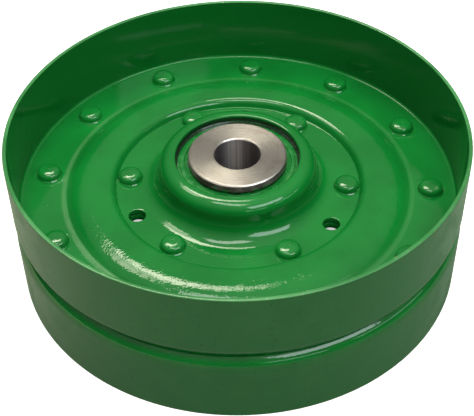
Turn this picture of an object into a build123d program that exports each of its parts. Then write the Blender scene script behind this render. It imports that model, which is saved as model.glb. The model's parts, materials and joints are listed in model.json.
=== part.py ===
"""Flat belt idler: two pressed pans riveted back to back, on two sealed ball bearings.

The axis is Z. The pans meet at z = 0, and the lower half mirrors the upper half.
All sizes are in millimetres.
"""

import os
from math import atan2, degrees, hypot, radians, tan

from build123d import *

os.makedirs("parts", exist_ok=True)

# Rim and sheet
rim_d = 196.85  # outside of the belt face
face_width = 68.3  # over both rims
sheet = 3.0  # pressed sheet, the same all over but for the rim wall
lip_sheet = 1.7  # the rim wall is drawn thinner towards its lip
rim_corner = 1.0  # inside corner between rim wall and web, set sharp
rim_shoulder = 6.4  # outside bend between belt face and web
lip_edge = 0.4  # rounding of the sheared rim lip

# Rivets, a circle of large heads near the rim and one round the hub
rivet_shank_d = 6.35
rivet_head_d = 10.6
rivet_head_h = 3.5
rivet_head_edge = 2.2  # rounding of the head
rivet_hole_gap = 0.05  # radial, a filled rivet hole
outer_rivet_count = 12
inner_rivet_count = 6
outer_rivet_inset = 14.0  # rim surface to rivet circle
rivet_phase = -5.0  # degrees from +X

# Drain and tooling holes, between the inner rivets
web_hole_d = 7.5
web_hole_count = 3
web_hole_phase = 85.0

# Stiffening ridge between the two rivet circles
ridge_gap = 3.9  # outer rivet head to ridge foot
ridge_rise = 3.65
ridge_dish = 0.3  # how far the crown falls towards the hub
ridge_slope_share = 0.25  # share of the ridge width that is its outer slope
ridge_foot_bend = 2.2
ridge_straight_share = 0.05  # share of the slope left straight between its two bends
step_run = 1.5  # lean of the step at the ridge's inner edge
step_gap = 0.35  # inner rivet head to step
step_edge_bend = 0.3  # inside bend, over the step
step_bend = 0.5

# Hub collar and its bearing seats
hub_bend = 8.5  # hollow fillet at the collar's foot
hub_gap = 0.1  # fillet to inner rivet head
seat_bend = 1.0  # inside bend under the collar lip
collar_opening_d = 54.0

# Deep groove ball bearings, one in each pan
bearing_bore_d = 30.0
bearing_od = 62.0
bearing_width = 16.0
bearing_corner = 1.2
ball_d = 9.525
ball_count = 9
ball_circle_d = 46.0
inner_shoulder_d = 40.4
outer_shoulder_d = 52.0
ball_play = 0.02  # ball to raceway
raceway_share = 0.52  # raceway radius over ball diameter

# Cage: two pressed ribbons and their small rivets
cage_sheet = 0.9
cage_width = 3.4
cage_play = 0.1
cage_rivet_d = 1.6
cage_rivet_head_d = 2.6
cage_rivet_head_h = 0.5

# Seals
seal_sheet = 0.9
seal_inset = 0.7  # below the bearing face
seal_recess_d = 54.06
seal_play = 0.3  # seal lip to inner ring
seal_groove_d = 46.6
seal_groove_width = 0.5
seal_groove_depth = 0.5

# Bushes, clamped by the bolt
bolt_bore_d = 20.0
flange_d = 42.5
flange_t = 3.5
flange_chamfer = 0.6
bore_chamfer = 0.5

same_place = 0.01  # edges closer than this to a level or a radius are on it

# Radii and levels that follow from the sizes above
rim_r = rim_d / 2
rim_top = face_width / 2
hub_wall_r = bearing_od / 2 + sheet
collar_top = bearing_width + sheet
head_r = rivet_head_d / 2
outer_rivet_r = rim_r - outer_rivet_inset
inner_rivet_r = hub_wall_r + hub_bend + hub_gap + head_r
ridge_foot_r = outer_rivet_r - head_r - ridge_gap
step_foot_r = inner_rivet_r + head_r + step_gap
step_edge_r = step_foot_r + step_run
slope_run = ridge_slope_share * (ridge_foot_r - step_edge_r)
shoulder_r = ridge_foot_r - slope_run
crown_z = sheet + ridge_rise
drill_length = 4 * crown_z  # well past both sheets
ball_r = ball_d / 2
ball_circle_r = ball_circle_d / 2
raceway_r = raceway_share * ball_d
seal_outer_r = seal_recess_d / 2
seal_inner_r = inner_shoulder_d / 2 + seal_play
half_bearing = bearing_width / 2


def ridge_shoulder_bend():
    """Radius that rounds the ridge's outer slope from its foot bend to the crown."""
    slope = degrees(atan2(ridge_rise, slope_run))
    crown_lean = degrees(atan2(ridge_dish, shoulder_r - step_edge_r))
    foot_tangent = ridge_foot_bend * tan(radians(slope / 2))
    room = (1 - ridge_straight_share) * (hypot(slope_run, ridge_rise) - foot_tangent)
    return room / tan(radians((slope + crown_lean) / 2))


def parallel(path, distance):
    """The corners of a path moved square to its runs by distance, to the right of its direction."""
    runs = [(after - before).normalized() for before, after in zip(path, path[1:])]
    sides = [Vector(-run.Y, run.X) for run in runs]
    moved = [path[0] + sides[0] * distance]
    for corner, before, after in zip(path[1:], sides, sides[1:]):
        moved.append(corner + (before + after) * (distance / (1 + before.dot(after))))
    moved.append(path[-1] + sides[-1] * distance)
    return moved


def mirrored(path, side):
    """The points of a path as they are for side 1, or turned over for side -1."""
    return [(point.X, side * point.Y) for point in path]


def build_pan(name, side):
    """One pressed pan. side is 1 for the upper pan and -1 for the lower one."""
    web_face = [
        Vector(rim_r - sheet, sheet),
        Vector(ridge_foot_r, sheet),
        Vector(shoulder_r, crown_z),
        Vector(step_edge_r, crown_z - ridge_dish),
        Vector(step_foot_r, sheet),
        Vector(hub_wall_r, sheet),
        Vector(hub_wall_r, collar_top),
        Vector(collar_opening_d / 2, collar_top),
    ]
    face = [Vector(rim_r - lip_sheet, rim_top), *web_face]
    face_bends = [
        rim_corner,
        ridge_foot_bend,
        ridge_shoulder_bend(),
        step_edge_bend + sheet,
        step_bend,
        hub_bend,
        seat_bend + sheet,
    ]
    back = [Vector(rim_r, rim_top), Vector(rim_r, 0), *parallel(web_face, sheet)[1:]]
    back_bends = [
        rim_shoulder,
        ridge_foot_bend + sheet,
        ridge_shoulder_bend() - sheet,
        step_edge_bend,
        step_bend + sheet,
        hub_bend + sheet,
        seat_bend,
    ]
    with BuildPart() as pan:
        with BuildSketch(Plane.XZ):
            with BuildLine():
                FilletPolyline(*mirrored(face, side), radius=face_bends)
                FilletPolyline(*mirrored(back, side), radius=back_bends)
                Line(*mirrored([face[0], back[0]], side))
                Line(*mirrored([face[-1], back[-1]], side))
            make_face()
        revolve(axis=Axis.Z)
        lip_edges = pan.edges().filter_by(GeomType.CIRCLE)
        fillet(lip_edges.filter_by(lambda e: abs(abs(e.center().Z) - rim_top) < same_place), lip_edge)
        drill_circle(outer_rivet_r, outer_rivet_count, rivet_phase, rivet_shank_d / 2 + rivet_hole_gap)
        drill_circle(inner_rivet_r, inner_rivet_count, rivet_phase, rivet_shank_d / 2 + rivet_hole_gap)
        drill_circle(inner_rivet_r, web_hole_count, web_hole_phase, web_hole_d / 2)
    save(pan, name)


def drill_circle(circle_r, count, phase, hole_r):
    """Cut a circle of through holes in the part under construction."""
    with PolarLocations(circle_r, count, start_angle=phase):
        Cylinder(hole_r, drill_length, mode=Mode.SUBTRACT)


def build_rivets(name, circle_r, count):
    """A circle of rivets that clamp both sheets, one separate solid each."""
    with BuildPart() as rivets:
        with PolarLocations(circle_r, count, start_angle=rivet_phase):
            Cylinder(rivet_shank_d / 2, 2 * sheet)
            for side in (1, -1):
                with Locations((0, 0, side * (sheet + rivet_head_h / 2))):
                    Cylinder(head_r, rivet_head_h)
        tops = rivets.edges().filter_by(
            lambda e: abs(abs(e.center().Z) - sheet - rivet_head_h) < same_place
        )
        fillet(tops, rivet_head_edge)
    save(rivets, name)


def build_outer_ring(name, centre_z):
    """Outer ring with its raceway and a recess for a seal at each face."""
    outer_r = bearing_od / 2
    shoulder = outer_shoulder_d / 2
    recess_z = half_bearing - seal_inset - seal_sheet
    section = [
        (outer_r, half_bearing),
        (seal_outer_r, half_bearing),
        (seal_outer_r, recess_z),
        (shoulder, recess_z),
        (shoulder, -recess_z),
        (seal_outer_r, -recess_z),
        (seal_outer_r, -half_bearing),
        (outer_r, -half_bearing),
    ]
    raceway_at = ball_circle_r + ball_r + ball_play - raceway_r
    build_ring(name, section, outer_r, raceway_at, centre_z)


def build_inner_ring(name, centre_z):
    """Inner ring with its raceway."""
    bore_r = bearing_bore_d / 2
    shoulder = inner_shoulder_d / 2
    section = [
        (bore_r, half_bearing),
        (shoulder, half_bearing),
        (shoulder, -half_bearing),
        (bore_r, -half_bearing),
    ]
    raceway_at = ball_circle_r - ball_r - ball_play + raceway_r
    build_ring(name, section, bore_r, raceway_at, centre_z)


def build_ring(name, section, seat_r, raceway_at, centre_z):
    """Revolve a ring's section, with a raceway and chamfered corners on its seat."""
    with BuildPart() as ring:
        with BuildSketch(Plane.XZ.shift_origin((0, 0, centre_z))) as profile:
            with BuildLine():
                Polyline(*section, close=True)
            make_face()
            with Locations((raceway_at, 0)):
                Circle(raceway_r, mode=Mode.SUBTRACT)
            corners = profile.vertices().filter_by(lambda v: abs(v.X - seat_r) < same_place)
            chamfer(corners, bearing_corner)
        revolve(axis=Axis.Z)
    save(ring, name)


def build_balls(name, centre_z):
    """The ring of balls of one bearing."""
    with BuildPart(Plane.XY.offset(centre_z)) as balls:
        with PolarLocations(ball_circle_r, ball_count):
            Sphere(ball_r)
    save(balls, name)


def build_cage_half(name, centre_z, side):
    """One pressed ribbon of the cage, bulged round each ball. side is its way along Z."""
    pocket_r = ball_r + cage_play
    with BuildPart(Plane.XY.offset(centre_z)) as half:
        with PolarLocations(ball_circle_r, ball_count):
            Sphere(pocket_r + cage_sheet)
        with BuildSketch(Plane.XY.offset(centre_z)):
            ribbon_face()
        extrude(amount=side * bearing_width, mode=Mode.INTERSECT)
        with BuildSketch(Plane.XY.offset(centre_z)):
            ribbon_face()
        extrude(amount=side * cage_sheet)
        with PolarLocations(ball_circle_r, ball_count):
            Sphere(pocket_r, mode=Mode.SUBTRACT)
        with PolarLocations(ball_circle_r, ball_count, start_angle=180 / ball_count):
            Cylinder(cage_rivet_d / 2, drill_length, mode=Mode.SUBTRACT)
    save(half, name)


def ribbon_face():
    """The flat ring that a cage ribbon covers, in the sketch under construction."""
    Circle(ball_circle_r + cage_width / 2)
    Circle(ball_circle_r - cage_width / 2, mode=Mode.SUBTRACT)


def build_cage_rivets(name, centre_z):
    """The small rivets between the balls that close the cage."""
    with BuildPart(Plane.XY.offset(centre_z)) as rivets:
        with PolarLocations(ball_circle_r, ball_count, start_angle=180 / ball_count):
            Cylinder(cage_rivet_d / 2, 2 * cage_sheet)
            for side in (1, -1):
                with Locations((0, 0, side * (cage_sheet + cage_rivet_head_h / 2))):
                    Cylinder(cage_rivet_head_d / 2, cage_rivet_head_h)
    save(rivets, name)


def build_seal(name, face_z, side):
    """A seal disc under the bearing face at face_z. side is the way that face looks."""
    outer_face = face_z - side * seal_inset
    groove_r = seal_groove_d / 2
    with BuildPart() as seal:
        with BuildSketch(Plane.XY.offset(outer_face)):
            Circle(seal_outer_r)
            Circle(seal_inner_r, mode=Mode.SUBTRACT)
        extrude(amount=-side * seal_sheet)
        with BuildSketch(Plane.XY.offset(outer_face)):
            Circle(groove_r + seal_groove_width)
            Circle(groove_r, mode=Mode.SUBTRACT)
        extrude(amount=-side * seal_groove_depth, mode=Mode.SUBTRACT)
    save(seal, name)


def build_bush(name, side):
    """Flanged steel bush: its shank fills one bearing and meets the other bush at z = 0."""
    end_z = side * (bearing_width + flange_t)
    mid_r = (flange_d + bolt_bore_d) / 4
    with BuildPart() as bush:
        with BuildSketch(Plane.XY):
            Circle(bearing_bore_d / 2)
        extrude(amount=side * bearing_width)
        with BuildSketch(Plane.XY.offset(side * bearing_width)):
            Circle(flange_d / 2)
        extrude(amount=side * flange_t)
        with BuildSketch(Plane.XY):
            Circle(bolt_bore_d / 2)
        extrude(amount=end_z, mode=Mode.SUBTRACT)
        end_edges = bush.edges().filter_by(lambda e: abs(e.center().Z - end_z) < same_place)
        chamfer(end_edges.filter_by(lambda e: e.radius < mid_r), bore_chamfer)
        end_edges = bush.edges().filter_by(lambda e: abs(e.center().Z - end_z) < same_place)
        chamfer(end_edges.filter_by(lambda e: e.radius > mid_r), flange_chamfer)
    save(bush, name)


def save(builder, name):
    """Label a finished piece and write its file."""
    builder.part.label = name
    export_step(builder.part, f"parts/{name}.step")


for half_name, side in (("upper", 1), ("lower", -1)):
    bearing_z = side * half_bearing
    build_pan(f"{half_name}_pan", side)
    build_bush(f"{half_name}_bush", side)
    build_outer_ring(f"{half_name}_outer_ring", bearing_z)
    build_inner_ring(f"{half_name}_inner_ring", bearing_z)
    build_balls(f"{half_name}_balls", bearing_z)
    build_cage_half(f"{half_name}_cage_outboard", bearing_z, side)
    build_cage_half(f"{half_name}_cage_inboard", bearing_z, -side)
    build_cage_rivets(f"{half_name}_cage_rivets", bearing_z)
    build_seal(f"{half_name}_outboard_seal", side * bearing_width, side)
    build_seal(f"{half_name}_inboard_seal", 0, -side)
build_rivets("outer_rivets", outer_rivet_r, outer_rivet_count)
build_rivets("inner_rivets", inner_rivet_r, inner_rivet_count)
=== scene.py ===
"""Looks of the belt tensioner idler: pressed pans, rivets, bushes and seals, light and camera."""

import json
import math

import bpy
from mathutils import Matrix, Vector, noise


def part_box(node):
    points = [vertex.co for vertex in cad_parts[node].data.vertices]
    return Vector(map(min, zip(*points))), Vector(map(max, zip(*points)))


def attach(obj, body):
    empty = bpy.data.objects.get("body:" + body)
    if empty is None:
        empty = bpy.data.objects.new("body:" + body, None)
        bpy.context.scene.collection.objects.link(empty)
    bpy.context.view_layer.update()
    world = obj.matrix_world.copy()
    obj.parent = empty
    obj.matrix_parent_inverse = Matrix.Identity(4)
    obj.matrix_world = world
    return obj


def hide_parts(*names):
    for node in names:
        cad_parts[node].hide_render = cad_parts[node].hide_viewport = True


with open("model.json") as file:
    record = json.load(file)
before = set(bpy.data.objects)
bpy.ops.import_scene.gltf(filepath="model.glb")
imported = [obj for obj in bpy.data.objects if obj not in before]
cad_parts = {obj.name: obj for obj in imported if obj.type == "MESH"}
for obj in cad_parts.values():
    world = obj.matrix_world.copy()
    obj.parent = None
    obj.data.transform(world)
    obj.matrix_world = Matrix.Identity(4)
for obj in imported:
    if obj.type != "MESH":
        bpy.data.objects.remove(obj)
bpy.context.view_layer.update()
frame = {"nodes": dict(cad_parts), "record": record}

# noise_vector takes its offsets from this seed, which is the clock when it isn't set
noise.seed_set(7)

# Sizes of the pressed pans, in metres. COLLAR_BEND is a little wider than in the CAD part
RIM_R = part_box("upper_pan")[1].x
RIM_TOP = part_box("upper_pan")[1].z
SHEET = 0.0030
LIP_SHEET = 0.0017
RIM_CORNER = 0.0010
RIM_SHOULDER = 0.0064
LIP_EDGE = 0.0004
RIDGE_FOOT_R = 0.075225
SHOULDER_R = 0.070181
STEP_EDGE_R = 0.05505
STEP_FOOT_R = 0.05355
CROWN_Z = 0.00665
RIDGE_DISH = 0.0003
RIDGE_FOOT_BEND = 0.0022
SHOULDER_BEND = 0.0156
STEP_EDGE_BEND = 0.0033
STEP_BEND = 0.0005
HUB_WALL_R = 0.0340
HUB_BEND = 0.0085
COLLAR_TOP = 0.0190
COLLAR_BEND = 0.0052
SEAT_BEND = 0.0010
OPENING_R = 0.0270
OPENING_EDGE = 0.0003

# Rivets and holes
OUTER_RIVET_R = 0.084425
INNER_RIVET_R = 0.0479
OUTER_RIVET_COUNT = 12
INNER_RIVET_COUNT = 6
RIVET_PHASE = -5
SHANK_R = 0.003175
HEAD_R = 0.0053
HEAD_H = 0.0035
WEB_HOLE_R = 0.00375
WEB_HOLE_COUNT = 3
WEB_HOLE_PHASE = 85

# Bush and seal
FLANGE_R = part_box("upper_bush")[1].x
FLANGE_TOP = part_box("upper_bush")[1].z
FLANGE_FOOT = 0.0160
BUSH_SHANK_R = 0.0150
BORE_R = frame["record"]["mounts"][0]["dims"]["r_mm"] / 1000
SEAL_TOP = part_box("upper_outboard_seal")[1].z
SEAL_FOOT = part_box("upper_outboard_seal")[0].z
SEAL_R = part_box("upper_outboard_seal")[1].x
SEAL_LIP_R = 0.0205

# Marks of the press: slow waves over the web, and a ring round each outer rivet
WAVE_OUTER_R = 0.0935
WAVE_INNER_R = 0.0350
WAVE_FADE = 0.003
LONG_WAVES = (42, 0.00010)
SHORT_WAVES = (120, 0.00003)
PRESS_RING_R = 0.0067
PRESS_RING_H = 0.00022
PRESS_RING_WIDTH = 0.00055
PRESS_RING_REACH = 0.009
PRESS_RING_PATCHES = 150

# Mesh density, and how close two heights or two points count as one
COLUMNS = 360
RIVET_COLUMNS = 48
RING_COLUMNS = 192
RUN_STEP = 0.0009
ARC_STEP = 0.00045
RIVET_RUN_STEP = 0.0006
RIVET_ARC_STEP = 0.0004
RING_RUN_STEP = 0.0010
RING_ARC_STEP = 0.00012
LEVEL = 0.00001
SAME_PLACE = 0.000001


# ---------------------------------------------------------------- camera and light


def aim_camera():
    """Stand where the photographer stood: in front, looking 42 degrees down at the hub."""
    distance = 4.9 * RIM_R
    elevation = math.radians(42.09)
    pitch_more = math.radians(1.097)
    roll = math.radians(-1.04)
    aside = -0.0006
    data = bpy.data.cameras.new("camera")
    data.lens = 82.48
    camera = bpy.data.objects.new("camera", data)
    bpy.context.scene.collection.objects.link(camera)
    place = Vector((aside, -distance * math.cos(elevation), distance * math.sin(elevation)))
    look = elevation + pitch_more
    forward = Vector((0, math.cos(look), -math.sin(look)))
    right = Vector((1, 0, 0))
    up = right.cross(forward)
    right_rolled = right * math.cos(roll) + up * math.sin(roll)
    up_rolled = up * math.cos(roll) - right * math.sin(roll)
    turn = Matrix((right_rolled, up_rolled, -forward)).transposed()
    camera.matrix_world = Matrix.Translation(place) @ turn.to_4x4()
    bpy.context.scene.camera = camera


def toward(azimuth, elevation):
    """Unit vector: azimuth in degrees from +X round to +Y, elevation above the floor."""
    a = math.radians(azimuth)
    e = math.radians(elevation)
    return Vector((math.cos(a) * math.cos(e), math.sin(a) * math.cos(e), math.sin(e)))


PANEL_DISTANCE = 2.0


def light_panel(name, azimuth, elevation, wide, high, radiance, colour):
    """A soft box seen from the object at that direction, wide by high degrees."""
    data = bpy.data.lights.new(name, "AREA")
    data.shape = "RECTANGLE"
    data.size = 2 * PANEL_DISTANCE * math.tan(math.radians(wide) / 2)
    data.size_y = 2 * PANEL_DISTANCE * math.tan(math.radians(high) / 2)
    data.energy = radiance * math.pi * data.size * data.size_y
    data.color = colour
    light = bpy.data.objects.new(name, data)
    light.location = toward(azimuth, elevation) * PANEL_DISTANCE
    light.rotation_euler = (-light.location).to_track_quat("-Z", "Y").to_euler()
    light.visible_camera = False
    light.visible_diffuse = name not in MIRRORED_ONLY
    light.visible_glossy = name not in UNMIRRORED
    bpy.context.scene.collection.objects.link(light)


WARM = (1.0, 0.95, 0.78)
COOL = (0.86, 0.94, 1.0)
NEUTRAL = (1.0, 0.98, 0.94)

# Azimuth, elevation, width and height in degrees, radiance, colour
PANELS = {
    "strip_rear": (104, 61, 19, 15, 10.0, WARM),
    "strip_left": (130, 60, 30, 15, 6.5, WARM),
    "strip_far_left": (153, 57, 8, 11, 2.0, WARM),
    "strip_overhead": (-125, 80, 26, 14, 8.0, NEUTRAL),
    "window_front": (-66, 18, 26, 4, 4.5, COOL),
    "window_right": (-20, 22, 36, 4, 4.0, COOL),
    "window_top": (-46, 46, 40, 18, 7.0, COOL),
    "fill_front": (-50, 62, 40, 28, 3.2, NEUTRAL),
}
MIRRORED_ONLY = ("window_top", "strip_left", "strip_far_left")
UNMIRRORED = ("fill_front",)

ROOM_HORIZON = 0.035
ROOM_ZENITH = 0.90


def light_scene():
    """The panels, and a dim room that brightens with the square of the height overhead."""
    for name, panel in PANELS.items():
        light_panel(name, *panel)
    world = bpy.data.worlds.new("room")
    world.use_nodes = True
    tree = world.node_tree
    background = tree.nodes["Background"]
    direction = tree.nodes.new("ShaderNodeTexCoord")
    parts = tree.nodes.new("ShaderNodeSeparateXYZ")
    rise = tree.nodes.new("ShaderNodeMath")
    rise.operation = "POWER"
    rise.use_clamp = True
    rise.inputs[1].default_value = 2
    sky = tree.nodes.new("ShaderNodeMath")
    sky.operation = "MULTIPLY_ADD"
    sky.inputs[1].default_value = ROOM_ZENITH
    sky.inputs[2].default_value = ROOM_HORIZON
    tree.links.new(direction.outputs["Generated"], parts.inputs[0])
    tree.links.new(parts.outputs[2], rise.inputs[0])
    tree.links.new(rise.outputs[0], sky.inputs[0])
    tree.links.new(sky.outputs[0], background.inputs["Strength"])
    background.inputs["Color"].default_value = (*NEUTRAL, 1)
    bpy.context.scene.world = world
    bpy.context.scene.view_settings.view_transform = "Standard"


# ---------------------------------------------------------------- node helpers


class Nodes:
    """A short way to write the node tree of one material."""

    def __init__(self, name):
        self.material = bpy.data.materials.new(name)
        self.material.use_nodes = True
        self.tree = self.material.node_tree
        self.shader = self.tree.nodes["Principled BSDF"]
        self.place = self.add("ShaderNodeTexCoord").outputs["Object"]

    def add(self, kind, **settings):
        made = self.tree.nodes.new(kind)
        for key, value in settings.items():
            setattr(made, key, value)
        return made

    def put(self, socket, value):
        if isinstance(value, bpy.types.NodeSocket):
            self.tree.links.new(value, socket)
        elif socket.type == "RGBA" and len(value) == 3:
            socket.default_value = (*value, 1)
        else:
            socket.default_value = value

    def math(self, operation, *values):
        made = self.add("ShaderNodeMath", operation=operation)
        for socket, value in zip(made.inputs, values):
            self.put(socket, value)
        return made.outputs[0]

    def times(self, first, second):
        return self.math("MULTIPLY", first, second)

    def noise(self, scale, detail=2.0, roughness=0.5):
        made = self.add("ShaderNodeTexNoise")
        self.put(made.inputs["Vector"], self.place)
        made.inputs["Scale"].default_value = scale
        made.inputs["Detail"].default_value = detail
        made.inputs["Roughness"].default_value = roughness
        return made.outputs["Fac"]

    def noise_along(self, value, scale, detail=2.0, roughness=0.5):
        """Noise that changes only as value does, for tool marks and streaks."""
        made = self.add("ShaderNodeTexNoise", noise_dimensions="1D")
        self.put(made.inputs["W"], value)
        made.inputs["Scale"].default_value = scale
        made.inputs["Detail"].default_value = detail
        made.inputs["Roughness"].default_value = roughness
        return made.outputs["Fac"]

    def cells(self, scale):
        """Distance to the middle of the nearest cell."""
        made = self.add("ShaderNodeTexVoronoi")
        self.put(made.inputs["Vector"], self.place)
        made.inputs["Scale"].default_value = scale
        return made.outputs["Distance"]

    def ramp(self, value, low, high, to_low=0.0, to_high=1.0):
        """value from low..high spread smoothly over to_low..to_high."""
        made = self.add("ShaderNodeMapRange", interpolation_type="SMOOTHSTEP")
        for socket, number in zip(made.inputs, (value, low, high, to_low, to_high)):
            self.put(socket, number)
        return made.outputs["Result"]

    def fall(self, value, low, high):
        """1 below low, 0 above high."""
        return self.ramp(value, low, high, 1.0, 0.0)

    def mix(self, share, first, second):
        """Colour from first to second."""
        made = self.add("ShaderNodeMix", data_type="RGBA")
        self.put(made.inputs[0], share)
        self.put(made.inputs[6], first)
        self.put(made.inputs[7], second)
        return made.outputs[2]

    def between(self, share, first, second):
        """Number from first to second."""
        made = self.add("ShaderNodeMix", data_type="FLOAT")
        self.put(made.inputs[0], share)
        self.put(made.inputs[2], first)
        self.put(made.inputs[3], second)
        return made.outputs[0]

    def bump(self, height, depth, below=None, strength=1.0):
        made = self.add("ShaderNodeBump")
        made.inputs["Distance"].default_value = depth
        self.put(made.inputs["Strength"], strength)
        self.put(made.inputs["Height"], height)
        if below is not None:
            self.put(made.inputs["Normal"], below)
        return made.outputs["Normal"]

    def along(self, letter):
        """One object coordinate: X, Y or Z."""
        parts = self.add("ShaderNodeSeparateXYZ")
        self.put(parts.inputs[0], self.place)
        return parts.outputs[letter]

    def radius(self):
        """Distance from the pulley's axis."""
        x = self.along("X")
        y = self.along("Y")
        return self.math("SQRT", self.math("ADD", self.times(x, x), self.times(y, y)))

    def height(self):
        """Distance from the plane where the two halves meet."""
        return self.math("ABSOLUTE", self.along("Z"))

    def finish(self, **inputs):
        """Fill the shader's sockets, named with _ for a space, and give the material."""
        for key, value in inputs.items():
            self.put(self.shader.inputs[key.replace("_", " ")], value)
        return self.material


# ---------------------------------------------------------------- materials

DEEP_GREEN = (0.0044, 0.176, 0.0240)
FULL_GREEN = (0.0054, 0.212, 0.0300)
# Darker green laid on the rim wall and the hub's side as painted shade
WALL_SHADE_GREEN = (0.0040, 0.135, 0.0190)
BELT_GREEN = (0.0080, 0.138, 0.0240)
DUSTY_GREEN = (0.0240, 0.160, 0.0330)
# Chalky lip colour, lightened as well to stand in for a highlight on the lip
WORN_AND_HIGHLIGHT_GREEN = (0.0850, 0.340, 0.110)
BARE_PRIMER = (0.42, 0.40, 0.27)
# Used for dark specks on the belt, for painted shade in the collar opening and on the seal, and for
# darker patches by the flange
DARK_SPECK_AND_SHADE = (0.006, 0.022, 0.008)

TURNED_DARK = (0.325, 0.303, 0.276)
TURNED_LIGHT = (0.390, 0.366, 0.334)
OIL_STAIN = (0.22, 0.175, 0.135)
NICK_BROWN = (0.10, 0.075, 0.06)
BEVEL_HIGHLIGHT = (0.66, 0.63, 0.58)
SKIN_DARK = (0.11, 0.092, 0.080)
SKIN_LIGHT = (0.27, 0.235, 0.205)
BORE_SHADED = (0.20, 0.18, 0.18)
BORE_REFLECTION = (0.78, 0.72, 0.70)

# Where the paint changes or painted shade is laid on, as the radii and heights from which a change
# begins to where it ends
RIM_WALL_R = (0.0946, 0.0953)
RIM_WALL_H = (0.0035, 0.0050)
HUB_SIDE_R = (0.0345, 0.0385)
HUB_SIDE_H = (0.0135, 0.0165)
RIDGE_FOOT_BEGIN_R = (0.0722, 0.0742)
RIDGE_FOOT_END_R = (0.0766, 0.0786)
RIDGE_BEGIN_R = (0.0600, 0.0650)
RIDGE_END_R = (0.0700, 0.0735)
RECESS_R = (OPENING_R + 0.0001, OPENING_R + 0.0002)
RECESS_H = (0.0178, 0.0186)
SEAL_SHADE_R = (0.0258, 0.0264)


def orange_peel(nodes, depth, strength=1.0):
    """The fine uneven skin of sprayed enamel, with long soft sags under it."""
    skin = nodes.noise(1100, 1.0, 0.45)
    sag = nodes.noise(230, 1.0, 0.4)
    return nodes.bump(skin, depth, nodes.bump(sag, depth * 1.8, strength=strength), strength)


def dust_nibs(nodes, scale, size):
    """A few hard grains caught under the paint: 1 on a grain, 0 elsewhere."""
    return nodes.ramp(nodes.cells(scale), size * 0.55, size, 1.0, 0.0)


def green_enamel():
    """Glossy enamel, satin and dusty on the belt face, chalky on the rim lip and lightened there as a
    painted highlight, with painted shade on the rim and hub walls and in the collar opening.
    """
    nodes = Nodes("green_enamel")
    radius = nodes.radius()
    height = nodes.height()
    cloud = nodes.noise(38, 3.0)
    paint = nodes.mix(nodes.ramp(cloud, 0.35, 0.65), DEEP_GREEN, FULL_GREEN)

    belt = nodes.ramp(radius, RIM_R - 0.0009, RIM_R - 0.0002)
    rub = nodes.ramp(nodes.noise(95, 4.0, 0.6), 0.38, 0.7)
    belt_paint = nodes.mix(nodes.times(rub, 0.55), BELT_GREEN, DUSTY_GREEN)
    specks = nodes.ramp(nodes.noise(620, 3.0, 0.7), 0.60, 0.72)
    belt_paint = nodes.mix(nodes.times(specks, 0.6), belt_paint, DARK_SPECK_AND_SHADE)

    # Painted shade: the inside of the rim wall, and half as much the hub's side, darkened as if in shade
    rim_wall = nodes.times(nodes.ramp(radius, *RIM_WALL_R), nodes.ramp(height, *RIM_WALL_H))
    hub_side = nodes.times(nodes.fall(radius, *HUB_SIDE_R), nodes.fall(height, *HUB_SIDE_H))
    painted_wall_shade = nodes.math("ADD", rim_wall, nodes.times(hub_side, 0.5))
    paint = nodes.mix(painted_wall_shade, paint, WALL_SHADE_GREEN)
    paint = nodes.mix(belt, paint, belt_paint)

    # The rim lip is chalky with wear, and its colour is lightened too as a painted highlight
    lip = nodes.ramp(height, RIM_TOP - 0.0005, RIM_TOP - 0.0001)
    chalk_and_highlight = nodes.ramp(cloud, 0.35, 0.65, 0.4, 0.9)
    paint = nodes.mix(nodes.times(lip, chalk_and_highlight), paint, WORN_AND_HIGHLIGHT_GREEN)
    chips = nodes.times(lip, nodes.ramp(nodes.noise(800, 1.0), 0.73, 0.77))
    paint = nodes.mix(chips, paint, BARE_PRIMER)
    # Painted shade: the wall of the collar opening below its top edge is darkened as if shaded by the
    # lip
    painted_recess_shade = nodes.times(nodes.fall(radius, *RECESS_R), nodes.fall(height, *RECESS_H))
    paint = nodes.mix(nodes.times(painted_recess_shade, 0.9), paint, DARK_SPECK_AND_SHADE)

    gloss = nodes.ramp(cloud, 0.3, 0.7, 0.055, 0.095)
    foot = nodes.times(nodes.ramp(radius, *RIDGE_FOOT_BEGIN_R), nodes.fall(radius, *RIDGE_FOOT_END_R))
    gloss = nodes.math("ADD", gloss, nodes.times(foot, 0.30))
    satin = nodes.ramp(rub, 0.0, 1.0, 0.28, 0.38)
    roughness = nodes.between(belt, gloss, satin)

    ridge = nodes.times(nodes.ramp(radius, *RIDGE_BEGIN_R), nodes.fall(radius, *RIDGE_END_R))
    skin = orange_peel(nodes, 0.000070, nodes.ramp(ridge, 0.0, 1.0, 0.30, 1.0))
    skin = nodes.bump(dust_nibs(nodes, 62, 0.035), 0.00012, skin)
    skin = nodes.bump(nodes.times(belt, nodes.noise(900, 2.0)), 0.00002, skin)
    return nodes.finish(Base_Color=paint, Roughness=roughness, Normal=skin, Specular_IOR_Level=0.43)


def rivet_enamel():
    """The same enamel pooled over the rivet heads, smoother and a little glossier."""
    nodes = Nodes("green_enamel_rivets")
    cloud = nodes.noise(120, 2.0)
    paint = nodes.mix(nodes.ramp(cloud, 0.35, 0.65), DEEP_GREEN, FULL_GREEN)
    gloss = nodes.ramp(cloud, 0.3, 0.7, 0.05, 0.09)
    skin = nodes.bump(nodes.noise(420, 1.0), 0.00003, nodes.bump(nodes.noise(1150, 1.5), 0.000010))
    return nodes.finish(Base_Color=paint, Roughness=gloss, Normal=skin)


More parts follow.
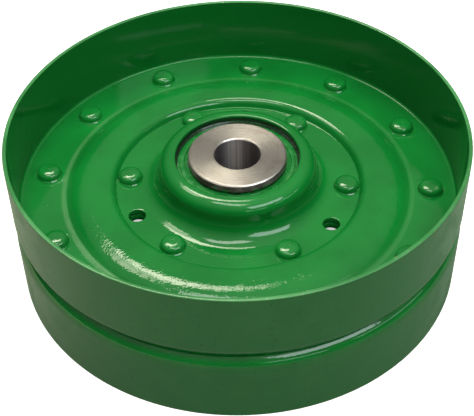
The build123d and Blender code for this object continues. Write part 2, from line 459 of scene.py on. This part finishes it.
def painted_seal():
    """Overspray on the bearing seal, darker in patches next to the flange, with painted shade under the
    collar.
    """
    nodes = Nodes("painted_seal")
    radius = nodes.radius()
    grime = nodes.ramp(nodes.noise(300, 3.0), 0.35, 0.65)
    paint = nodes.mix(grime, DEEP_GREEN, FULL_GREEN)
    # Darker in patches next to the flange
    inner = nodes.fall(radius, FLANGE_R, FLANGE_R + 0.0012)
    paint = nodes.mix(nodes.times(inner, grime), paint, DARK_SPECK_AND_SHADE)
    # Painted shade: the seal's outer ring darkened where the collar's lip shades it
    shade = nodes.ramp(radius, *SEAL_SHADE_R)
    paint = nodes.mix(nodes.times(shade, 0.9), paint, DARK_SPECK_AND_SHADE)
    skin = nodes.bump(nodes.noise(520, 2.0), 0.00003, orange_peel(nodes, 0.000018))
    return nodes.finish(Base_Color=paint, Roughness=nodes.ramp(grime, 0.0, 1.0, 0.12, 0.3), Normal=skin)


def turned_steel():
    """Turned bush: ring marks on the face, brown skin on the rim, oil stains, painted highlights on the
    chamfers, and a painted reflection in streaks down the middle of the bore.
    """
    nodes = Nodes("turned_steel")
    radius = nodes.radius()
    marks = nodes.noise_along(radius, 4200, 4.0, 0.65)
    stain = nodes.ramp(nodes.noise(170, 4.0, 0.6), 0.45, 0.75)
    steel = nodes.mix(nodes.ramp(marks, 0.35, 0.65), TURNED_DARK, TURNED_LIGHT)
    steel = nodes.mix(nodes.times(stain, 0.45), steel, OIL_STAIN)
    nicks = nodes.ramp(nodes.noise(520, 5.0, 0.75), 0.66, 0.74)
    steel = nodes.mix(nodes.times(nicks, 0.55), steel, NICK_BROWN)

    # Painted highlight: the chamfers at the flange's rim and at the bore get a bright colour
    outer_bevel = nodes.ramp(radius, FLANGE_R - 0.00065, FLANGE_R - 0.00055)
    bore_bevel = nodes.fall(radius, BORE_R + 0.00045, BORE_R + 0.00055)
    bevel = nodes.math("MAXIMUM", outer_bevel, bore_bevel)
    steel = nodes.mix(bevel, steel, BEVEL_HIGHLIGHT)

    side = nodes.ramp(radius, FLANGE_R - 0.00025, FLANGE_R - 0.00005)
    brown = nodes.mix(nodes.ramp(nodes.noise(260, 4.0), 0.35, 0.7), SKIN_DARK, SKIN_LIGHT)
    foot = nodes.fall(nodes.height(), FLANGE_FOOT + 0.0004, FLANGE_FOOT + 0.0016)
    splash = nodes.times(foot, nodes.ramp(nodes.noise(330, 3.0), 0.50, 0.56))
    brown = nodes.mix(splash, brown, FULL_GREEN)
    steel = nodes.mix(side, steel, brown)

    # Painted reflection: the bore is lit in streaks in a band about its middle across X, and shaded
    # towards its sides
    bore = nodes.fall(radius, BORE_R + 0.0001, BORE_R + 0.0003)
    across = nodes.along("X")
    middle = nodes.fall(nodes.math("ABSOLUTE", across), 0.0008, 0.0085)
    reflection_streaks = nodes.ramp(nodes.noise_along(across, 900), 0.3, 0.7, 0.5, 1.0)
    steel = nodes.mix(bore, steel, nodes.mix(nodes.times(middle, reflection_streaks), BORE_SHADED, BORE_REFLECTION))

    roughness = nodes.ramp(marks, 0.2, 0.8, 0.24, 0.40)
    dull = nodes.math("ADD", nodes.times(side, 0.22), nodes.times(bore, 0.06))
    dull = nodes.math("ADD", dull, nodes.times(bevel, 0.10))
    roughness = nodes.math("ADD", roughness, dull)
    metal = nodes.math("SUBTRACT", 1.0, nodes.times(side, splash))
    tangent = nodes.add("ShaderNodeTangent", direction_type="RADIAL", axis="Z")
    skin = nodes.bump(marks, 0.000005, nodes.bump(nodes.noise(700, 3.0), 0.000008))
    return nodes.finish(
        Base_Color=steel, Metallic=metal, Roughness=roughness, Normal=skin,
        Anisotropic=0.6, Anisotropic_Rotation=0.25, Tangent=tangent.outputs[0],
    )


def plain_metal(name, dark, light, roughness, grain):
    """Machined or pressed steel inside the bearing, with an oil film."""
    nodes = Nodes(name)
    film = nodes.noise(grain, 3.0)
    colour = nodes.mix(nodes.ramp(film, 0.35, 0.65), dark, light)
    skin = nodes.bump(nodes.noise(grain * 6, 2.0), 0.000004)
    shine = nodes.ramp(film, 0.3, 0.7, roughness * 0.8, roughness * 1.3)
    return nodes.finish(Base_Color=colour, Metallic=1.0, Roughness=shine, Normal=skin)


def seal_rubber():
    """Black moulded rubber of the seals inside the hub."""
    nodes = Nodes("seal_rubber")
    film = nodes.noise(240, 3.0)
    colour = nodes.mix(film, (0.012, 0.012, 0.012), (0.035, 0.033, 0.030))
    skin = nodes.bump(nodes.noise(1600, 2.0), 0.00002)
    return nodes.finish(Base_Color=colour, Roughness=nodes.ramp(film, 0.3, 0.7, 0.5, 0.7), Normal=skin)


# ---------------------------------------------------------------- meshes


def rounded_path(corners, bends, run_step=RUN_STEP, arc_step=ARC_STEP):
    """The line through corners (radius, height) with each inner corner rounded by its bend."""
    corners = [Vector(corner) for corner in corners]
    path = [corners[0]]
    for before, corner, after, bend in zip(corners, corners[1:], corners[2:], bends):
        back = (before - corner).normalized()
        ahead = (after - corner).normalized()
        half = back.angle(ahead) / 2
        centre = corner + (back + ahead).normalized() * (bend / math.sin(half))
        start = corner + back * (bend / math.tan(half)) - centre
        turn = math.pi - 2 * half
        if start.y * back.x < start.x * back.y:
            turn = -turn
        count = max(4, round(abs(turn) * bend / arc_step))
        for step in range(count + 1):
            path.append(centre + Matrix.Rotation(turn * step / count, 2) @ start)
    path.append(corners[-1])
    filled = [path[0]]
    for point in path[1:]:
        begin = filled[-1]
        if (point - begin).length < SAME_PLACE:
            continue
        pieces = max(1, round((point - begin).length / run_step))
        for piece in range(1, pieces + 1):
            filled.append(begin.lerp(point, piece / pieces))
    return filled


def sideways(path, distance):
    """Each point of the path moved by distance to its right, square to the path."""
    moved = []
    for index, point in enumerate(path):
        along = path[min(index + 1, len(path) - 1)] - path[max(index - 1, 0)]
        along.normalize()
        moved.append(point + Vector((along.y, -along.x)) * distance)
    return moved


def evenly(path, count):
    """count points spread evenly along the path, its ends among them."""
    lengths = [0.0]
    for before, after in zip(path, path[1:]):
        lengths.append(lengths[-1] + (after - before).length)
    points = []
    index = 0
    for step in range(count):
        reach = lengths[-1] * step / (count - 1)
        while index < len(path) - 2 and lengths[index + 1] < reach:
            index += 1
        share = (reach - lengths[index]) / (lengths[index + 1] - lengths[index])
        points.append(path[index].lerp(path[index + 1], min(1.0, share)))
    return points


def mesh_object(name, verts, faces, material):
    """A smooth mesh piece with one material."""
    mesh = bpy.data.meshes.new(name)
    mesh.from_pydata(verts, [], faces)
    mesh.validate()
    for polygon in mesh.polygons:
        polygon.use_smooth = True
    mesh.materials.append(material)
    piece = bpy.data.objects.new(name, mesh)
    bpy.context.scene.collection.objects.link(piece)
    return piece


def lathe(section, columns, side=1):
    """Closed section (radius, height) turned round Z: vertices and quads, facing outwards."""
    verts = []
    for radius, height in section:
        for column in range(columns):
            angle = 2 * math.pi * column / columns
            verts.append((radius * math.cos(angle), radius * math.sin(angle), side * height))
    faces = []
    rows = len(section)
    for row in range(rows):
        lower = row * columns
        upper = (row + 1) % rows * columns
        for column in range(columns):
            after = (column + 1) % columns
            quad = (lower + column, lower + after, upper + after, upper + column)
            faces.append(quad if side > 0 else quad[::-1])
    return verts, faces


def pan_front():
    """The seen face of the upper pan from the rim lip down the wall and in to the hub collar."""
    corners = [
        (RIM_R - LIP_SHEET, RIM_TOP - LIP_EDGE),
        (RIM_R - SHEET, SHEET),
        (RIDGE_FOOT_R, SHEET),
        (SHOULDER_R, CROWN_Z),
        (STEP_EDGE_R, CROWN_Z - RIDGE_DISH),
        (STEP_FOOT_R, SHEET),
        (HUB_WALL_R, SHEET),
        (HUB_WALL_R, COLLAR_TOP),
        (OPENING_R + OPENING_EDGE, COLLAR_TOP),
    ]
    bends = [
        RIM_CORNER, RIDGE_FOOT_BEND, SHOULDER_BEND, STEP_EDGE_BEND, STEP_BEND, HUB_BEND, COLLAR_BEND,
    ]
    return rounded_path(corners, bends)


def pan_back(front):
    """The other face, row by row: even sheet under the web, its own bends at rim and seat."""
    back = sideways(front, -SHEET)
    first_flat = next(row for row, point in enumerate(front) if point.x <= RIM_R - RIM_SHOULDER)
    wall = [(RIM_R, RIM_TOP - LIP_EDGE), (RIM_R, 0), (front[first_flat].x, 0)]
    back[:first_flat + 1] = evenly(rounded_path(wall, [RIM_SHOULDER]), first_flat + 1)
    bend_top = SHEET + HUB_BEND + LEVEL
    first_upright = next(
        row for row, point in enumerate(front) if point.x < RIDGE_FOOT_R and point.y > bend_top
    )
    seat = [
        (HUB_WALL_R - SHEET, front[first_upright].y),
        (HUB_WALL_R - SHEET, COLLAR_TOP - SHEET),
        (OPENING_R + OPENING_EDGE, COLLAR_TOP - SHEET),
    ]
    back[first_upright:] = evenly(rounded_path(seat, [SEAT_BEND]), len(front) - first_upright)
    return back


def quarter(centre, radius, begin, steps=4):
    """Points of a quarter turn round centre, clockwise from the angle begin, without its ends."""
    points = []
    for step in range(1, steps):
        angle = math.radians(begin - 90 * step / steps)
        points.append(Vector(centre) + Vector((math.cos(angle), math.sin(angle))) * radius)
    return points


class Pan:
    """Mesh of one pressed pan: a grid turned round the axis, with holes let into its web."""

    def __init__(self, side):
        self.side = side
        front = pan_front()
        back = pan_back(front)
        self.front_rows = len(front)
        lip_inner_r = RIM_R - LIP_SHEET + LIP_EDGE
        lip_outer_r = RIM_R - LIP_EDGE
        lip = quarter((lip_inner_r, RIM_TOP - LIP_EDGE), LIP_EDGE, 180)
        lip += [Vector((lip_inner_r, RIM_TOP)), Vector((lip_outer_r, RIM_TOP))]
        lip += quarter((lip_outer_r, RIM_TOP - LIP_EDGE), LIP_EDGE, 90)
        edge = [
            Vector((OPENING_R, COLLAR_TOP - OPENING_EDGE)),
            Vector((OPENING_R, COLLAR_TOP - SHEET + OPENING_EDGE)),
        ]
        self.section = front + edge + back[::-1] + lip[::-1]
        self.back_row = {row: 2 * len(front) + len(edge) - 1 - row for row in range(len(front))}
        self.verts = []
        for radius, height in self.section:
            for column in range(COLUMNS):
                self.verts.append(self.spot(radius, math.radians(360 * column / COLUMNS), height))
        self.faces = {}
        rows = len(self.section)
        for row in range(rows):
            for column in range(COLUMNS):
                after = column + 1
                self.faces[row, column] = self.quad(
                    self.at(row, column), self.at(row, after),
                    self.at(row + 1, after), self.at(row + 1, column),
                )
        self.patches = []

    def spot(self, radius, angle, height):
        """A place on this pan's side of the middle plane."""
        return Vector((radius * math.cos(angle), radius * math.sin(angle), self.side * height))

    def at(self, row, column):
        """The grid's vertex in that row and column."""
        return row % len(self.section) * COLUMNS + column % COLUMNS

    def quad(self, *corners):
        """A face that points outwards on either side."""
        return corners if self.side > 0 else corners[::-1]

    def punch(self, centre_r, centre_column, half_columns, half_reach, hole_r, rings, edge):
        """Let a round hole through both faces of the flat web, in rings that grow into the grid."""
        radii = [self.section[row].x for row in range(self.front_rows)]
        flat = [row for row in range(self.front_rows) if abs(self.section[row].y - SHEET) < LEVEL]
        outer = max(row for row in flat if radii[row] >= centre_r + half_reach)
        inner = min(row for row in flat if radii[row] <= centre_r - half_reach)
        left = centre_column - half_columns
        right = centre_column + half_columns
        border = [(outer, column) for column in range(left, right)]
        border += [(row, right) for row in range(outer, inner)]
        border += [(inner, column) for column in range(right, left, -1)]
        border += [(row, left) for row in range(inner, outer, -1)]
        angle = math.radians(360 * centre_column / COLUMNS)
        centre = self.spot(centre_r, angle, SHEET)
        loops = []
        for on_front in (True, False):
            row_of = {row: row if on_front else self.back_row[row] for row in range(outer, inner + 1)}
            for row in range(outer, inner):
                strip = min(row_of[row], row_of[row + 1])
                for column in range(left, right):
                    self.faces.pop((strip, column % COLUMNS))
            outline = [self.at(row_of[row], column) for row, column in border]
            level = self.verts[outline[0]].z
            into = -1 if level * self.side > SHEET / 2 else 1
            middle = Vector((centre.x, centre.y, level))
            previous = outline
            for ring in range(1, rings + 1):
                previous = self.add_ring(
                    outline, previous, middle, ring / rings, hole_r + edge, 0, on_front
                )
            for turn in (45, 90):
                narrow = edge * (1 - math.sin(math.radians(turn)))
                sink = into * edge * (1 - math.cos(math.radians(turn)))
                previous = self.add_ring(outline, previous, middle, 1, hole_r + narrow, sink, on_front)
            loops.append(previous)
        front_loop, back_loop = loops
        for index in range(len(front_loop)):
            after = (index + 1) % len(front_loop)
            self.patches.append(
                self.quad(front_loop[index], back_loop[index], back_loop[after], front_loop[after])[::-1]
            )

    def add_ring(self, outline, previous, middle, share, hole_r, sink, on_front):
        """One more loop of vertices, share of the way to the hole, joined to the loop before it."""
        ring = []
        for index in outline:
            start = self.verts[index]
            away = Vector((start.x - middle.x, start.y - middle.y, 0)).normalized()
            spot = start.lerp(middle + away * hole_r, share)
            spot.z = middle.z + self.side * sink
            ring.append(len(self.verts))
            self.verts.append(spot)
        for index in range(len(ring)):
            after = (index + 1) % len(ring)
            face = self.quad(previous[index], ring[index], ring[after], previous[after])
            self.patches.append(face[::-1] if on_front else face)
        return ring

    def relief(self):
        """Press marks: rings round the outer rivets, and the slight waves of a pressed sheet."""
        rivets = circle_places(OUTER_RIVET_R, OUTER_RIVET_COUNT)
        long_scale, long_height = LONG_WAVES
        short_scale, short_height = SHORT_WAVES
        for vert in self.verts:
            height = abs(vert.z)
            radius = math.hypot(vert.x, vert.y)
            if height < SHEET / 2 or radius > WAVE_OUTER_R or radius < WAVE_INNER_R:
                continue
            fade = min(1.0, (WAVE_OUTER_R - radius) / WAVE_FADE, (radius - WAVE_INNER_R) / WAVE_FADE)
            seed = Vector((vert.x, vert.y, self.side * 0.05))
            wave = noise.noise(seed * long_scale) * long_height
            wave += noise.noise(seed * short_scale) * short_height
            ring = 0.0
            if radius > OUTER_RIVET_R - PRESS_RING_REACH:
                near = min((vert.xy - rivet.xy).length for rivet in rivets)
                ring = math.exp(-(((near - PRESS_RING_R) / PRESS_RING_WIDTH) ** 2)) * PRESS_RING_H
                ring *= max(0.0, 0.45 + 1.3 * noise.noise(seed * PRESS_RING_PATCHES))
            vert.z += self.side * (wave * fade + ring)

    def build(self, name, material):
        """The piece, without the vertices that the holes took out of use."""
        self.relief()
        faces = list(self.faces.values()) + self.patches
        used = sorted({corner for face in faces for corner in face})
        renumbered = {old: new for new, old in enumerate(used)}
        faces = [[renumbered[corner] for corner in face] for face in faces]
        return mesh_object(name, [self.verts[corner] for corner in used], faces, material)


RIVET_HOLE_EDGE = 0.00005
WEB_HOLE_EDGE = 0.0001

# Each circle of holes: its radius, count and first place in degrees, then half the columns and
# half the radial reach of the patch that one hole takes, its radius, rings of faces and edge
HOLE_CIRCLES = (
    (OUTER_RIVET_R, OUTER_RIVET_COUNT, RIVET_PHASE, 5, 0.0066, SHANK_R, 9, RIVET_HOLE_EDGE),
    (INNER_RIVET_R, INNER_RIVET_COUNT, RIVET_PHASE, 6, 0.0047, SHANK_R, 4, RIVET_HOLE_EDGE),
    (INNER_RIVET_R, WEB_HOLE_COUNT, WEB_HOLE_PHASE, 6, 0.0047, WEB_HOLE_R, 3, WEB_HOLE_EDGE),
)


def circle_places(circle_r, count):
    """Centres of the rivets on one circle, in the middle plane."""
    angles = [math.radians(RIVET_PHASE + 360 * index / count) for index in range(count)]
    return [Vector((circle_r * math.cos(angle), circle_r * math.sin(angle), 0)) for angle in angles]


def build_pan(name, side, material):
    pan = Pan(side)
    for circle_r, count, phase, *patch in HOLE_CIRCLES:
        for index in range(count):
            column = round(COLUMNS * (phase / 360 + index / count))
            pan.punch(circle_r, column, *patch)
    return pan.build(name, material)


SKIRT_WIDTH = 0.0005
SKIRT_HEIGHT = 0.00045
SKIRT_SINK = 0.00015


def rivet_section():
    """Half of a rivet's outline from the middle of its head down to the skirt of paint."""
    corners = [
        (0.00002, HEAD_H),
        (0.0028, HEAD_H - 0.00008),
        (HEAD_R - 0.0001, HEAD_H - 0.0007),
        (HEAD_R, SKIRT_HEIGHT),
        (HEAD_R + SKIRT_WIDTH, 0.00002),
        (HEAD_R + SKIRT_WIDTH, -SKIRT_SINK),
    ]
    dome = rounded_path(corners, [0.006, 0.0021, 0.0005, 0.00008], RIVET_RUN_STEP, RIVET_ARC_STEP)
    return [Vector((point.x, point.y + SHEET)) for point in dome]


LEAN_PLACES = 300
LEAN_SHIFT = 0.0002
LEAN_SLOPE = 0.05
LUMP_SCALE = 260
LUMP_HEIGHT = 0.00012


def build_rivets(name, circle_r, count, material):
    """Rivets with a head on each side, each a little different, as one piece of separate solids."""
    half = rivet_section() + [Vector((SHANK_R, SHEET - SKIRT_SINK))]
    section = half + [Vector((point.x, -point.y)) for point in reversed(half)]
    verts = []
    faces = []
    for centre in circle_places(circle_r, count):
        ring_verts, ring_faces = lathe(section, RIVET_COLUMNS)
        first = len(verts)
        for x, y, z in ring_verts:
            lean = noise.noise_vector(centre * LEAN_PLACES + Vector((0, 0, math.copysign(0.5, z))))
            swell = max(0.0, abs(z) - SHEET) / HEAD_H
            lump = noise.noise(Vector((x, y, z)) * LUMP_SCALE + centre * 90) * LUMP_HEIGHT * swell
            spot = Vector((x + lean.x * LEAN_SHIFT * swell, y + lean.y * LEAN_SHIFT * swell, z))
            spot.z += math.copysign(lump + (lean.x * x + lean.y * y) * LEAN_SLOPE * swell, z)
            verts.append(centre + spot)
        faces += [tuple(corner + first for corner in face[::-1]) for face in ring_faces]
    return mesh_object(name, verts, faces, material)


def build_ring_piece(name, corners, bend, side, material):
    """A turned or moulded ring: a closed outline with every corner rounded, turned round the axis."""
    seam = (Vector(corners[0]) + Vector(corners[1])) / 2
    around = [seam, *corners[1:], corners[0], seam]
    outline = rounded_path(around, [bend] * len(corners), RING_RUN_STEP, RING_ARC_STEP)
    verts, faces = lathe(outline[-2::-1], RING_COLUMNS, side)
    return mesh_object(name, verts, faces, material)


def build_bush(name, side, material):
    """Flanged bush with a chamfer at the flange and at the bore."""
    edge = 0.00012
    chamfer = 0.0006
    bore_chamfer = 0.0005
    bore_seam = 0.004
    corners = [
        (BORE_R, bore_seam),
        (BORE_R, FLANGE_TOP - bore_chamfer),
        (BORE_R + bore_chamfer, FLANGE_TOP),
        (FLANGE_R - chamfer, FLANGE_TOP),
        (FLANGE_R, FLANGE_TOP - chamfer),
        (FLANGE_R, FLANGE_FOOT),
        (BUSH_SHANK_R, FLANGE_FOOT),
        (BUSH_SHANK_R, 0),
        (BORE_R, 0),
    ]
    return build_ring_piece(name, corners, edge, side, material)


def build_seal(name, side, material):
    """Seal disc with a bead at its rim, a channel, and a lip that goes in under the flange."""
    edge = 0.0001
    lip_top = SEAL_TOP - 0.0001
    channel_floor = SEAL_TOP - 0.00055
    rim_top = SEAL_TOP - 0.0003
    corners = [
        (SEAL_LIP_R, SEAL_FOOT + 0.0003),
        (SEAL_LIP_R, lip_top),
        (0.0223, lip_top),
        (0.0226, channel_floor),
        (0.0231, channel_floor),
        (0.0234, SEAL_TOP),
        (0.0250, SEAL_TOP),
        (0.0252, rim_top),
        (SEAL_R, rim_top),
        (SEAL_R, SEAL_FOOT),
        (SEAL_LIP_R, SEAL_FOOT),
    ]
    return build_ring_piece(name, corners, edge, side, material)


# ---------------------------------------------------------------- the object


def stand_for(piece, node, body):
    """The piece takes the node's place and moves with its body."""
    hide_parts(node)
    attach(piece, body)


def build_object():
    """The pieces that show, in place of their CAD nodes."""
    enamel = green_enamel()
    seal_paint = painted_seal()
    bush_steel = turned_steel()
    rivet_paint = rivet_enamel()
    for half, side in (("upper", 1), ("lower", -1)):
        pan = build_pan(f"{half}_pan_pressed", side, enamel)
        stand_for(pan, f"{half}_pan", "wheel")
        bush = build_bush(f"{half}_bush_turned", side, bush_steel)
        stand_for(bush, f"{half}_bush", "hub")
        seal = build_seal(f"{half}_outboard_seal_painted", side, seal_paint)
        stand_for(seal, f"{half}_outboard_seal", "wheel")
    outer = build_rivets("outer_rivets_headed", OUTER_RIVET_R, OUTER_RIVET_COUNT, rivet_paint)
    inner = build_rivets("inner_rivets_headed", INNER_RIVET_R, INNER_RIVET_COUNT, rivet_paint)
    stand_for(outer, "outer_rivets", "wheel")
    stand_for(inner, "inner_rivets", "wheel")


def finish_inner_nodes():
    """Materials for the bearing pieces that keep their CAD shape."""
    by_word = {
        "_ring": plain_metal("bearing_steel", (0.48, 0.48, 0.49), (0.60, 0.60, 0.61), 0.22, 180),
        "balls": plain_metal("ball_steel", (0.68, 0.68, 0.69), (0.78, 0.78, 0.79), 0.06, 120),
        "cage": plain_metal("cage_steel", (0.36, 0.35, 0.34), (0.52, 0.51, 0.50), 0.34, 260),
        "inboard_seal": seal_rubber(),
    }
    for name, piece in frame["nodes"].items():
        for word, material in by_word.items():
            if word in name:
                piece.data.materials.clear()
                piece.data.materials.append(material)


FLOOR_SIZE = 6
FLOOR_SEEN = (0.97, 0.97, 0.97)
FLOOR_LIT = (0.34, 0.34, 0.33)
FLOOR_MIRRORED_LEFT = (1.0, 0.93, 0.70)
FLOOR_MIRRORED_RIGHT = (0.38, 0.48, 0.38)


def lay_floor():
    """A near-white floor to the eye, duller in its light, with painted light in reflections: brighter
    and warm at the left.
    """
    bpy.ops.mesh.primitive_plane_add(size=FLOOR_SIZE, location=(0, 0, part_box("lower_pan")[0].z))
    floor = bpy.context.object
    floor.name = "floor"
    nodes = Nodes("pale_floor")
    light_path = nodes.add("ShaderNodeLightPath")
    seen = light_path.outputs["Is Camera Ray"]
    mirrored = light_path.outputs["Is Glossy Ray"]
    # Painted light in the floor's reflections: brighter and warmer towards the left, as if more light
    # fell there
    rightward = nodes.ramp(nodes.along("X"), -0.6, 0.1)
    reflected = nodes.mix(rightward, FLOOR_MIRRORED_LEFT, FLOOR_MIRRORED_RIGHT)
    tone = nodes.mix(mirrored, FLOOR_LIT, reflected)
    tone = nodes.mix(seen, tone, FLOOR_SEEN)
    glow = nodes.times(seen, 0.6)
    nodes.put(nodes.shader.inputs["Emission Color"], (1, 1, 1))
    floor.data.materials.append(
        nodes.finish(Base_Color=tone, Roughness=0.9, Specular_IOR_Level=0.0, Emission_Strength=glow)
    )


aim_camera()
light_scene()
build_object()
finish_inner_nodes()
lay_floor()
